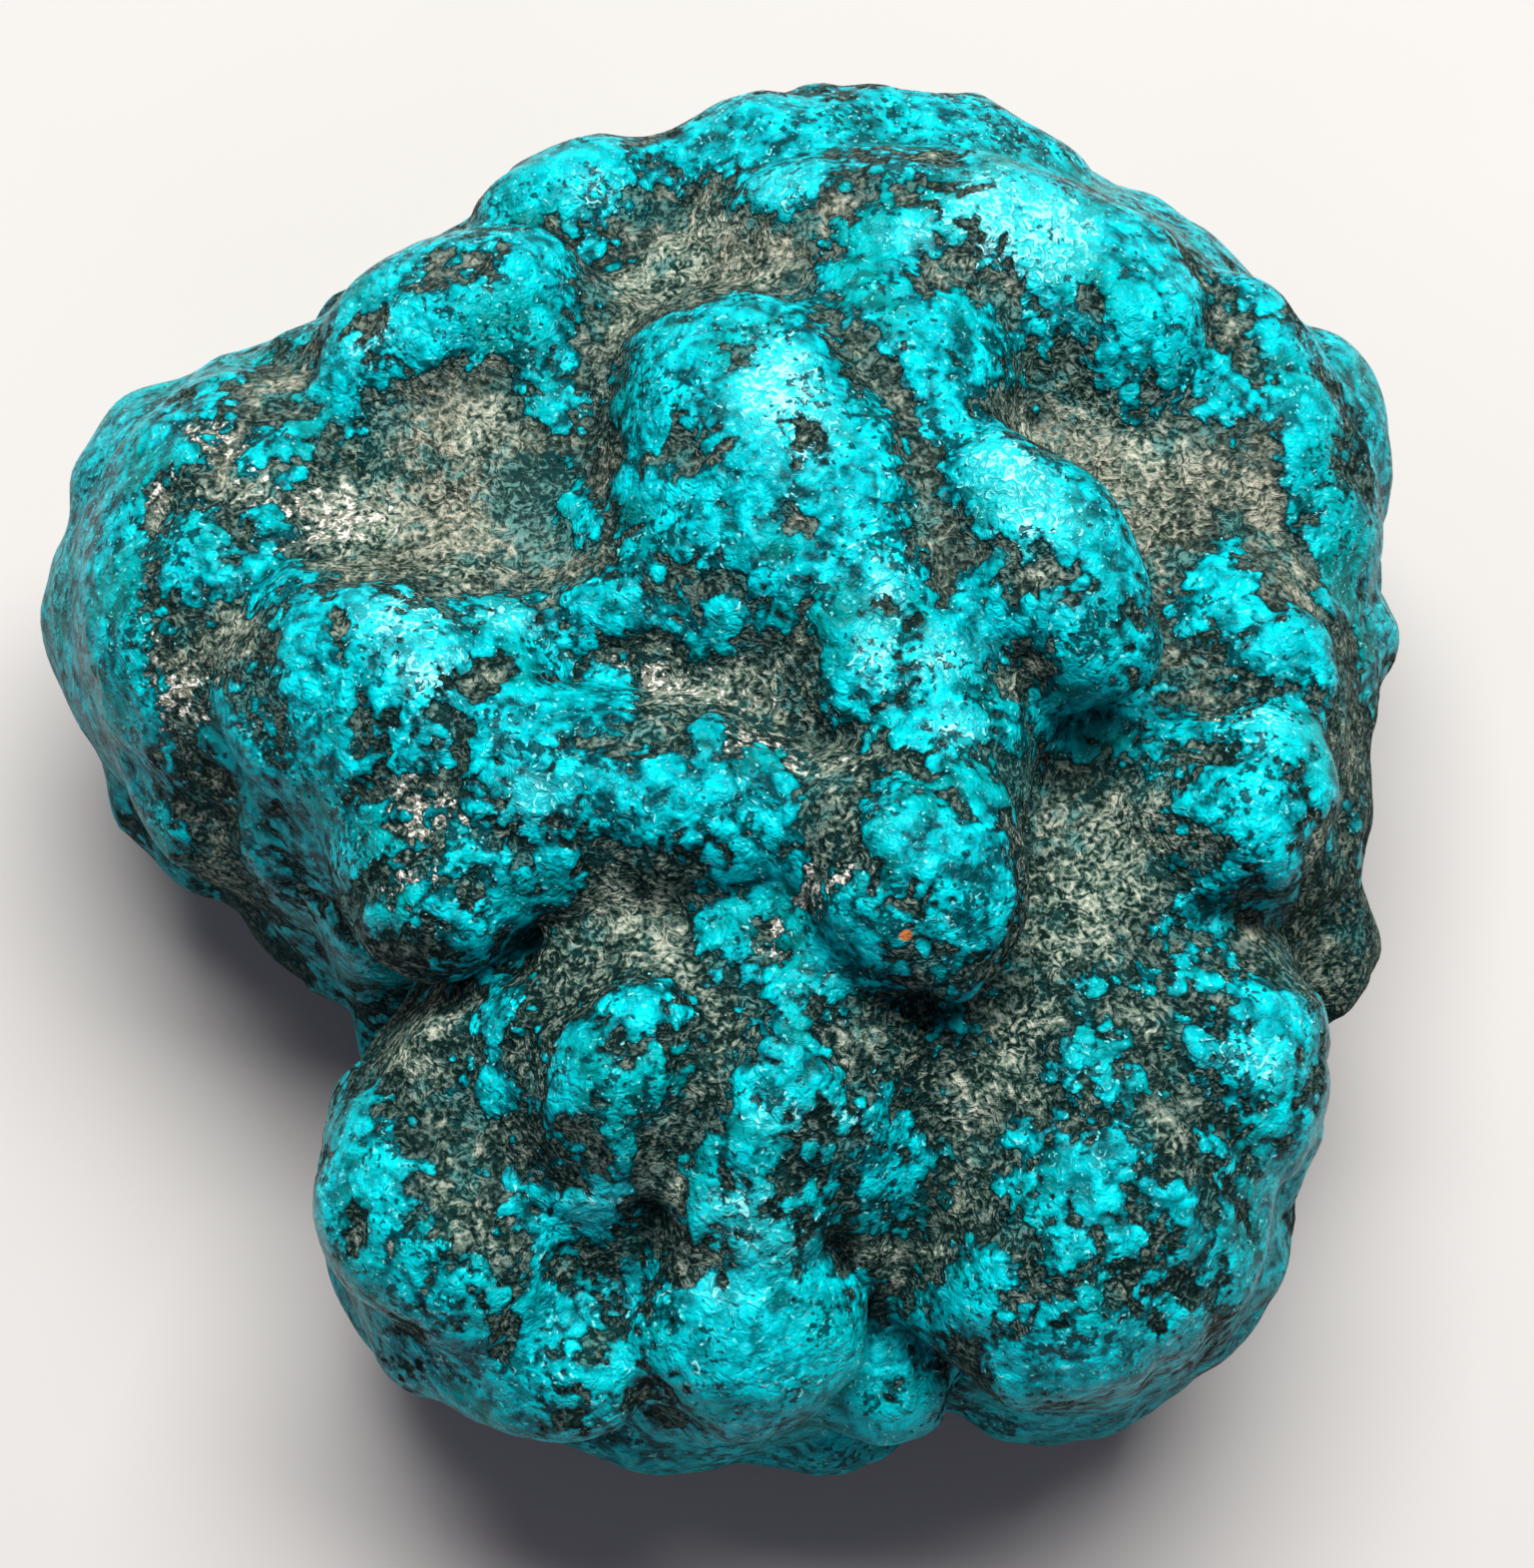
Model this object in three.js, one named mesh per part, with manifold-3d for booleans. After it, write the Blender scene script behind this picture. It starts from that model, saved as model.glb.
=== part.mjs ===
// Raw turquoise nugget: one natural lump, knobbly on top, that rests on a small ground flat.
// Millimetres, +Z up, +X to the right and +Y away from the side that it is looked at from.
//
// The lump is a round-shouldered pebble, dented along a few valleys of soft matrix, with the hard
// turquoise standing out of it as rounded bosses. The pebble's surface is a superellipsoid over a
// lobed plan outline. Each boss is an ellipsoid sunk into that surface, and all of them run into
// each other with soft fillets. A sphere's vertices are moved out along their own rays to meet it.

import * as THREE from "three";
import { mergeVertices } from "three/addons/utils/BufferGeometryUtils.js";
import Module from "manifold-3d";

// ---- driving dimensions ----------------------------------------------------------------------

const WAIST_HEIGHT = 21; // height of the widest outline over the ground
const CROWN_RISE = 25; // the pebble's top over the waist
const UNDERSIDE_DEPTH = 23; // the pebble's bottom under the waist, ground away where it rests
const FULLNESS = 2.4; // superellipsoid power: 2 is an ellipsoid, more is squarer

// Radius of the widest outline in plan, every 15 degrees anticlockwise from +X. The lobe at 150 to
// 180 degrees and the notch at 210 degrees give the nugget its plan shape.
const OUTLINE = [
  43, 44.5, 49.5, 49.5, 48, 48, 45.5, 43, 41.5, 41.5, 47, 46.5,
  41.5, 34, 30, 37, 44, 45.5, 45, 44.5, 49.5, 49, 44, 43,
];

// Bosses on the crown: plan x, plan y, length, width, turn in degrees, height over the pebble,
// and the radius of the fillet where it meets its neighbours.
const CROWN_BOSSES = [
  [8, 8, 34, 27, 100, 2.8, 6], // broad swell under the dome and its knob
  [2, 13, 25, 17, 108, 4.6, 3.5], // central dome
  [8, 2, 18, 9, 98, 3.6, 3], // strip running down from the dome
  [20, 4, 18, 11, 115, 6, 2], // oval knob right of the dome
  [17, 29, 32, 17, -14, 4.2, 3.5], // broad back shoulder
  [12, 20, 13, 9, -50, 2.5, 3.5], // foot of the back shoulder
  [26, 24, 10, 10, -50, 3, 3], // blunt end of the back shoulder
  [11, -16, 16, 12, -50, 6, 2], // tip of the front tongue
  [13, -11, 13, 10, -80, 3.5, 3.5], // root of the front tongue
  [12, -4, 11, 8, 110, 2.5, 3], // saddle from the dome to the tongue
  [-22, -4, 22, 15, 155, 5, 3.5], // left lobe, inner mass
  [-19, -13.5, 15, 13, 140, 4.5, 2.5], // left lobe, front lip
  [-8, -10, 28, 11, 172, 3, 4], // ridge from the left lobe to the middle
  [-36, 9, 26, 15, 80, 1.5, 4], // left lobe, outer rim
  [-19, 25, 18, 12, 20, 3.8, 3], // back left rim
  [-11, 36, 13, 9, 30, 3, 3], // back left knob
  [2, 40, 16, 8, 5, 2, 3], // back rim, left half
  [15, 42, 18, 9, -15, 2, 3], // back rim, right half
  [38, 18, 22, 9, -65, 2, 3], // right ridge, back end
  [36, 1, 15, 10, 100, 2.5, 3], // right ridge, middle
  [33, -9, 13, 11, 60, 4.5, 2], // right ridge, front knob
  [33, -24, 15, 12, 70, 3, 3], // front right rim knob
  [23, -38, 22, 17, 60, 3.5, 3.5], // front right mass
  [1, -42.5, 14, 12, 20, 3.4, 2], // front middle knob
  [-19, -36, 17, 11, -60, 3, 3], // front left rim
  [-11, -43, 13, 9, -10, 2.8, 2], // front left knob
  [-6, -27, 12, 9, 55, 2.8, 2.5], // low swell on the front slope, left
  [3, -31, 16, 10, 70, 1.8, 3.5], // low swell on the front slope, right
];

// Bosses on the flank: bearing in degrees from +X, height over the ground, then as above.
const FLANK_BOSSES = [
  [279, 12, 12, 10, 0, 3, 2.5], [283, 23, 8, 7, 0, 2, 2], [264, 15, 13, 10, 0, 1.5, 2.5], // front
  [301, 12, 16, 12, 0, 1.5, 2.5], [314, 20, 12, 10, 0, 0.5, 2.5],
  [236, 14, 15, 10, 0, 1.5, 2.5], [247, 24, 12, 8, 0, 1.5, 2.5],
  [330, 13, 12, 10, 0, 1, 2.5], [341, 22, 11, 10, 90, 2.2, 2], [355, 15, 14, 10, 0, 1, 2.5], // right
  [9, 24, 12, 10, 90, 1.5, 2.5], [20, 14, 14, 12, 0, 1.5, 2.5], [28, 28, 12, 9, 30, 1.5, 2.5],
  [41, 16, 16, 12, 0, 2, 3], [55, 24, 14, 10, 0, 1.5, 2.5], [64, 12, 12, 10, 90, 1.5, 2.5], // back
  [78, 22, 14, 10, 0, 1, 2.5], [92, 14, 14, 11, 0, 1.5, 2.5], [104, 26, 12, 9, 0, 1.5, 2.5],
  [119, 15, 12, 10, 0, 0.8, 2.5], [131, 24, 10, 9, 60, 1.5, 2.5],
  [146, 14, 14, 12, 0, 1.5, 3], [152, 26, 12, 9, 20, 1, 2.5], [166, 20, 16, 12, 90, 1.5, 3], // left
  [180, 13, 14, 10, 0, 1.5, 3], [190, 24, 12, 10, 90, 1.5, 3], [199, 12, 13, 10, 20, 1.5, 3],
];

// Valleys in the pebble: depth, half width, then the points of the valley's floor in plan.
const VALLEYS = [
  [6, 5, [[18, 19], [26, 14], [28, 5], [26, -5], [23, -14], [17, -24]]],
  [3.5, 5.5, [[15, -30], [14, -38], [13, -46]]],
  [3, 4.5, [[-9, 33], [-3, 28], [4, 27], [8, 32]]],
  [4, 6, [[-30, 16], [-21, 11], [-14, 9], [-10, 18]]],
  [3, 4, [[-10, -3], [0, -4], [5, -9]]],
  [12, 3.4, [[-34, -23], [-27, -21.5], [-21, -20.5], [-17, -20.5]]],
  [2.5, 4, [[-14, -21], [-8, -19], [-1, -17]]],
  [1.2, 2.5, [[12, 18], [12, 10], [13, 3]]],
  [2.5, 4.5, [[-17, -24], [-15, -34], [-8, -39]]],
  [2.5, 3.5, [[44, -17], [36, -16], [28, -19]]],
  [2, 3, [[-32, 22], [-27, 21]]],
  [2.5, 3, [[-6, 44], [-5, 36], [-2, 31]]],
  [1.5, 2.5, [[28, -30], [32, -31], [40, -33]]],
  [3, 2, [[-5, -37], [-7, -42], [-8, -48]]],
  [3, 2, [[6, -38], [9, -42], [9, -48]]],
  [2, 2.5, [[-27, 12], [-31, 4], [-30, -4]]],
];

const CROSSING_SHARE = 0.25; // of the shallower valley's depth, added where two valleys cross
const VALLEY_FADE = [-0.25, 0.1]; // climb of the ray over which the valleys start below the waist
const BOSS_THICKNESS = 0.42; // a boss's half thickness, as a share of its width

const FACE_SPLITS = 18; // splits of each icosahedron edge: 20 x 19 x 19 triangles
const SMOOTHING_PASSES = 3; // averaging passes over neighbouring vertices
const GROUND_BLOCK = 200; // side of the block that is cut away under the ground

const CLEARANCE = 9; // a ray starts this far out, clear of every boss
const WALK_STEPS = 70; // most steps along a ray
const WALK_SHARE = 0.85; // of the distance left, taken in each step
const NEAR_ENOUGH = 0.004; // a ray has met the surface when it is this close

// ---- the pebble ------------------------------------------------------------------------------

const centre = new THREE.Vector3(0, 0, WAIST_HEIGHT);

/** Plan radius of the widest outline at an angle: a smooth closed curve through OUTLINE. */
function outlineRadius(angle) {
  const count = OUTLINE.length;
  const place = ((angle / (2 * Math.PI)) * count + count) % count;
  const step = Math.floor(place);
  const part = place - step;
  const [a, b, c, d] = [-1, 0, 1, 2].map((k) => OUTLINE[(step + k + count) % count]);
  return b + 0.5 * part * (c - a + part * (2 * a - 5 * b + 4 * c - d + part * (3 * (b - c) + d - a)));
}

/** Distance from the centre to the undented pebble along a unit direction. */
function pebbleRadius(direction) {
  const flat = Math.hypot(direction.x, direction.y);
  const side = outlineRadius(Math.atan2(direction.y, direction.x));
  const tall = direction.z > 0 ? CROWN_RISE : UNDERSIDE_DEPTH;
  const sum = (flat / side) ** FULLNESS + (Math.abs(direction.z) / tall) ** FULLNESS;
  return sum ** (-1 / FULLNESS);
}

/** Point of the undented pebble along a direction. */
function pebblePoint(direction) {
  const unit = direction.clone().normalize();
  return unit.clone().multiplyScalar(pebbleRadius(unit)).add(centre);
}

/** Outward normal of the undented pebble, from two short steps across it. */
function pebbleNormal(point) {
  const out = point.clone().sub(centre).normalize();
  const across = new THREE.Vector3(0.3, 0.2, 1).cross(out).normalize();
  const along = new THREE.Vector3().crossVectors(out, across);
  const step = 0.02;
  const chord = (way) => {
    const ahead = pebblePoint(out.clone().addScaledVector(way, step));
    return ahead.sub(pebblePoint(out.clone().addScaledVector(way, -step)));
  };
  const normal = new THREE.Vector3().crossVectors(chord(across), chord(along)).normalize();
  return normal.dot(out) > 0 ? normal : normal.negate();
}

/** Shortest distance in plan from a point to a line of points. */
function distanceToLine(x, y, line) {
  let nearest = Infinity;
  for (let k = 1; k < line.length; k++) {
    const [ax, ay] = line[k - 1];
    const [bx, by] = line[k];
    const [dx, dy] = [bx - ax, by - ay];
    const along = THREE.MathUtils.clamp(((x - ax) * dx + (y - ay) * dy) / (dx * dx + dy * dy), 0, 1);
    nearest = Math.min(nearest, Math.hypot(x - ax - along * dx, y - ay - along * dy));
  }
  return nearest;
}

/** Depth of the valleys at a direction: round-bottomed troughs that fade out below the waist. */
function valleyDepth(direction) {
  const point = pebblePoint(direction);
  let dip = 0;
  for (const [depth, halfWidth, line] of VALLEYS) {
    const here = depth * Math.exp(-((distanceToLine(point.x, point.y, line) / halfWidth) ** 2));
    dip = Math.max(dip, here) + CROSSING_SHARE * Math.min(dip, here);
  }
  const [low, high] = VALLEY_FADE;
  return dip * THREE.MathUtils.clamp((direction.z - low) / (high - low), 0, 1);
}

// ---- the bosses ------------------------------------------------------------------------------

/** Point on top of the pebble over a place in plan. */
function crownPoint(x, y) {
  const reach = Math.hypot(x, y) / outlineRadius(Math.atan2(y, x));
  const rise = CROWN_RISE * (1 - reach ** FULLNESS) ** (1 / FULLNESS);
  return new THREE.Vector3(x, y, WAIST_HEIGHT + rise);
}

/** Point on the pebble's side at a bearing and a height. */
function flankPoint(bearing, height) {
  const angle = THREE.MathUtils.degToRad(bearing);
  const tall = height > WAIST_HEIGHT ? CROWN_RISE : UNDERSIDE_DEPTH;
  const climb = Math.abs(height - WAIST_HEIGHT) / tall;
  const radius = outlineRadius(angle) * (1 - climb ** FULLNESS) ** (1 / FULLNESS);
  return new THREE.Vector3(radius * Math.cos(angle), radius * Math.sin(angle), height);
}

/** Ellipsoid of a boss: its middle, its three scaled axes and the fillet around it. */
function makeBoss(point, reference, [length, width, turn, rise, fillet]) {
  const thickness = BOSS_THICKNESS * width;
  const normal = pebbleNormal(point);
  const east = new THREE.Vector3().crossVectors(reference, normal).normalize();
  const north = new THREE.Vector3().crossVectors(normal, east);
  const angle = THREE.MathUtils.degToRad(turn);
  const along = east.clone().multiplyScalar(Math.cos(angle)).addScaledVector(north, Math.sin(angle));
  const across = new THREE.Vector3().crossVectors(normal, along);
  return {
    middle: point.clone().addScaledVector(normal, rise - thickness),
    axes: [
      along.divideScalar(length / 2),
      across.divideScalar(width / 2),
      normal.divideScalar(thickness),
    ],
    fillet,
  };
}

const NORTH = new THREE.Vector3(0, 1, 0);
const UP = new THREE.Vector3(0, 0, 1);
const bosses = [
  ...CROWN_BOSSES.map(([x, y, ...shape]) => makeBoss(crownPoint(x, y), NORTH, shape)),
  ...FLANK_BOSSES.map(([bearing, height, ...shape]) => makeBoss(flankPoint(bearing, height), UP, shape)),
];

/** Distance from a point to an ellipsoid, close enough to walk towards it. */
function bossDistance(point, boss) {
  const offset = point.clone().sub(boss.middle);
  const scaled = boss.axes.map((axis) => offset.dot(axis));
  const size = Math.hypot(...scaled);
  const slope = new THREE.Vector3();
  boss.axes.forEach((axis, k) => slope.addScaledVector(axis, scaled[k]));
  return (size * (size - 1)) / (slope.length() + 1e-9);
}

/** Distance from a point to the nugget: pebble and bosses joined with fillets. */
function nuggetDistance(point, dentedRadius) {
  let distance = (point.distanceTo(centre) - dentedRadius) * WALK_SHARE;
  for (const boss of bosses) {
    const other = bossDistance(point, boss);
    const blend = Math.max(boss.fillet - Math.abs(distance - other), 0) / boss.fillet;
    distance = Math.min(distance, other) - blend * blend * boss.fillet * 0.25;
  }
  return distance;
}

/** Distance from the centre to the nugget along a ray, walking in from outside. */
function nuggetRadius(direction) {
  const dentedRadius = pebbleRadius(direction) - valleyDepth(direction);
  let reach = dentedRadius + CLEARANCE;
  for (let step = 0; step < WALK_STEPS; step++) {
    const distance = nuggetDistance(direction.clone().multiplyScalar(reach).add(centre), dentedRadius);
    reach -= distance * WALK_SHARE;
    if (Math.abs(distance) < NEAR_ENOUGH) break;
  }
  return reach;
}

// ---- the solid -------------------------------------------------------------------------------

/** A closed geometry's position and index alone, with shared vertices merged. */
function weld(geometry) {
  geometry.deleteAttribute("normal");
  geometry.deleteAttribute("uv");
  return mergeVertices(geometry);
}

/** Moves every vertex halfway to the mean of its neighbours, once for each pass. */
function smooth(geometry, passes) {
  const position = geometry.attributes.position;
  const neighbours = Array.from({ length: position.count }, () => new Set());
  const index = geometry.index.array;
  for (let k = 0; k < index.length; k += 3) {
    const [a, b, c] = index.slice(k, k + 3);
    neighbours[a].add(b).add(c);
    neighbours[b].add(c).add(a);
    neighbours[c].add(a).add(b);
  }
  for (let pass = 0; pass < passes; pass++) {
    const before = neighbours.map((_, k) => new THREE.Vector3().fromBufferAttribute(position, k));
    neighbours.forEach((ring, k) => {
      const mean = new THREE.Vector3();
      ring.forEach((other) => mean.add(before[other]));
      mean.divideScalar(ring.size).lerp(before[k], 0.5);
      position.setXYZ(k, mean.x, mean.y, mean.z);
    });
  }
}

/** The nugget before its resting flat is ground: a sphere with its vertices moved out. */
function roughNugget() {
  const geometry = weld(new THREE.IcosahedronGeometry(1, FACE_SPLITS));
  const position = geometry.attributes.position;
  for (let k = 0; k < position.count; k++) {
    const direction = new THREE.Vector3().fromBufferAttribute(position, k).normalize();
    const point = direction.clone().multiplyScalar(nuggetRadius(direction)).add(centre);
    position.setXYZ(k, point.x, point.y, point.z);
  }
  smooth(geometry, SMOOTHING_PASSES);
  return geometry;
}

const wasm = await Module();
wasm.setup();

/** A welded geometry as a manifold solid. */
function solidOf(geometry) {
  const vertProperties = new Float32Array(geometry.attributes.position.array);
  const triVerts = new Uint32Array(geometry.index.array);
  return new wasm.Manifold(new wasm.Mesh({ numProp: 3, vertProperties, triVerts }));
}

/** A manifold solid as a geometry again. */
function geometryOf(solid) {
  const mesh = solid.getMesh();
  const geometry = new THREE.BufferGeometry();
  geometry.setAttribute("position", new THREE.BufferAttribute(new Float32Array(mesh.vertProperties), 3));
  geometry.setIndex(new THREE.BufferAttribute(new Uint32Array(mesh.triVerts), 1));
  return geometry;
}

const groundBlock = weld(new THREE.BoxGeometry(GROUND_BLOCK, GROUND_BLOCK, GROUND_BLOCK));
groundBlock.translate(0, 0, -GROUND_BLOCK / 2);
const nuggetGeometry = geometryOf(solidOf(roughNugget()).subtract(solidOf(groundBlock)));

// The origin stands in the middle of the nugget's box, on the ground.
nuggetGeometry.computeBoundingBox();
const middle = nuggetGeometry.boundingBox.getCenter(new THREE.Vector3());
nuggetGeometry.translate(-middle.x, -middle.y, 0);
nuggetGeometry.computeVertexNormals();

const turquoise = new THREE.MeshStandardMaterial({ color: 0x1592a0, roughness: 0.45, metalness: 0 });
const nugget = new THREE.Mesh(nuggetGeometry, turquoise);
nugget.name = "nugget";

const group = new THREE.Group();
group.add(nugget);

export default group;
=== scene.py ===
import math

import bpy
import numpy as np
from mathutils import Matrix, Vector


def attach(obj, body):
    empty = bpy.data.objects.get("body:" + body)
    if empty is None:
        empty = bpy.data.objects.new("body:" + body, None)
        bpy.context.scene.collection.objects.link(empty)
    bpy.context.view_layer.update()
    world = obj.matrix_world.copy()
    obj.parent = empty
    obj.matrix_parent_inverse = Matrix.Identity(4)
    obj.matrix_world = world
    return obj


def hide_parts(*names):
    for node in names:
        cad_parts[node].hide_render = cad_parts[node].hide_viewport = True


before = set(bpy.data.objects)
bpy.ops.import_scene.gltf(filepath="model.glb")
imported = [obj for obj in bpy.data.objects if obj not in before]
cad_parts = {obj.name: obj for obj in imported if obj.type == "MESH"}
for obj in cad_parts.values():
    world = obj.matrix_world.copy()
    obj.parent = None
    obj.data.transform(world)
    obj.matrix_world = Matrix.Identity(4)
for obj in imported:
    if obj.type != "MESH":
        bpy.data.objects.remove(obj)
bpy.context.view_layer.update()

# The nugget: one natural lump, in which hard turquoise stands out as waxy knobs and the softer,
# grey-brown matrix lies worn back between them. It is one piece, nothing is fixed to it, and it
# rests on a small flat underneath. Shape and pattern are laid out in millimetres, and the
# finished mesh is in metres.

WAIST_HEIGHT, CROWN_RISE, UNDERSIDE_DEPTH = 21.0, 25.0, 23.0
FULLNESS = 2.4

# The pebble's plan radius every 15 degrees, counter-clockwise from +X.
OUTLINE = [43, 44.5, 49.5, 49.5, 48, 48, 45.5, 43, 41.5, 41.5, 47, 46.5,
           41.5, 34, 30, 37, 44, 45.5, 45, 44.5, 49.5, 49, 44, 43]
CENTRE = np.array([0.0, 0.0, WAIST_HEIGHT])

# Bosses on the crown: plan x, plan y, length, width, turn in degrees, rise and fillet.
CROWN_BOSSES = [
    (8, 8, 34, 27, 100, 2.8, 6.0), (2, 13, 25, 17, 108, 4.6, 3.5), (8, 2, 18, 9, 98, 3.6, 3.0),
    (20, 4, 18, 11, 115, 6.0, 2.0), (17, 29, 32, 17, -14, 4.2, 3.5),
    (12, 20, 13, 9, -50, 2.5, 3.5), (26, 24, 10, 10, -50, 3.0, 3.0),
    (11, -16, 16, 12, -50, 6.0, 2.0), (13, -11, 13, 10, -80, 3.5, 3.5),
    (12, -4, 11, 8, 110, 2.5, 3.0), (-22, -4, 22, 15, 155, 5.0, 3.5),
    (-19, -13.5, 15, 13, 140, 4.5, 2.5), (-8, -10, 28, 11, 172, 3.0, 4.0),
    (-36, 9, 26, 15, 80, 1.5, 4.0), (-19, 25, 18, 12, 20, 3.8, 3.0),
    (-11, 36, 13, 9, 30, 3.0, 3.0), (2, 40, 16, 8, 5, 2.0, 3.0),
    (15, 42, 18, 9, -15, 2.0, 3.0), (38, 18, 22, 9, -65, 2.0, 3.0),
    (36, 1, 15, 10, 100, 2.5, 3.0), (33, -9, 13, 11, 60, 4.5, 2.0),
    (33, -24, 15, 12, 70, 3.0, 3.0), (23, -38, 22, 17, 60, 3.5, 3.5),
    (1, -42.5, 14, 12, 20, 3.4, 2.0), (-19, -36, 17, 11, -60, 3.0, 3.0),
    (-11, -43, 13, 9, -10, 2.8, 2.0), (-6, -27, 12, 9, 55, 2.8, 2.5),
    (3, -31, 16, 10, 70, 1.8, 3.5),
]

# Bosses on the flank: bearing in degrees from +X, height over the ground, then the same.
FLANK_BOSSES = [
    (279, 12, 12, 10, 0, 3.0, 2.5), (283, 23, 8, 7, 0, 2.0, 2.0), (264, 15, 13, 10, 0, 1.5, 2.5),
    (301, 12, 16, 12, 0, 1.5, 2.5), (314, 20, 12, 10, 0, 0.5, 2.5), (236, 14, 15, 10, 0, 1.5, 2.5),
    (247, 24, 12, 8, 0, 1.5, 2.5), (330, 13, 12, 10, 0, 1.0, 2.5), (341, 22, 11, 10, 90, 2.2, 2.0),
    (355, 15, 14, 10, 0, 1.0, 2.5), (9, 24, 12, 10, 90, 1.5, 2.5), (20, 14, 14, 12, 0, 1.5, 2.5),
    (28, 28, 12, 9, 30, 1.5, 2.5), (41, 16, 16, 12, 0, 2.0, 3.0), (55, 24, 14, 10, 0, 1.5, 2.5),
    (64, 12, 12, 10, 90, 1.5, 2.5), (78, 22, 14, 10, 0, 1.0, 2.5), (92, 14, 14, 11, 0, 1.5, 2.5),
    (104, 26, 12, 9, 0, 1.5, 2.5), (119, 15, 12, 10, 0, 0.8, 2.5), (131, 24, 10, 9, 60, 1.5, 2.5),
    (146, 14, 14, 12, 0, 1.5, 3.0), (152, 26, 12, 9, 20, 1.0, 2.5), (166, 20, 16, 12, 90, 1.5, 3.0),
    (180, 13, 14, 10, 0, 1.5, 3.0), (190, 24, 12, 10, 90, 1.5, 3.0), (199, 12, 13, 10, 20, 1.5, 3.0),
]

# Valleys: depth, half width, then the points of the valley floor in plan.
VALLEYS = [
    (6.0, 5.0, [(18, 19), (26, 14), (28, 5), (26, -5), (23, -14), (17, -24)]),
    (3.5, 5.5, [(15, -30), (14, -38), (13, -46)]),
    (3.0, 4.5, [(-9, 33), (-3, 28), (4, 27), (8, 32)]),
    (4.0, 6.0, [(-30, 16), (-21, 11), (-14, 9), (-10, 18)]),
    (3.0, 4.0, [(-10, -3), (0, -4), (5, -9)]),
    (12.0, 3.4, [(-34, -23), (-27, -21.5), (-21, -20.5), (-17, -20.5)]),
    (2.5, 4.0, [(-14, -21), (-8, -19), (-1, -17)]),
    (1.2, 2.5, [(12, 18), (12, 10), (13, 3)]),
    (2.5, 4.5, [(-17, -24), (-15, -34), (-8, -39)]),
    (2.5, 3.5, [(44, -17), (36, -16), (28, -19)]),
    (2.0, 3.0, [(-32, 22), (-27, 21)]),
    (2.5, 3.0, [(-6, 44), (-5, 36), (-2, 31)]),
    (1.5, 2.5, [(28, -30), (32, -31), (40, -33)]),
    (3.0, 2.0, [(-5, -37), (-7, -42), (-8, -48)]),
    (3.0, 2.0, [(6, -38), (9, -42), (9, -48)]),
    (2.0, 2.5, [(-27, 12), (-31, 4), (-30, -4)]),
]

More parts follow.
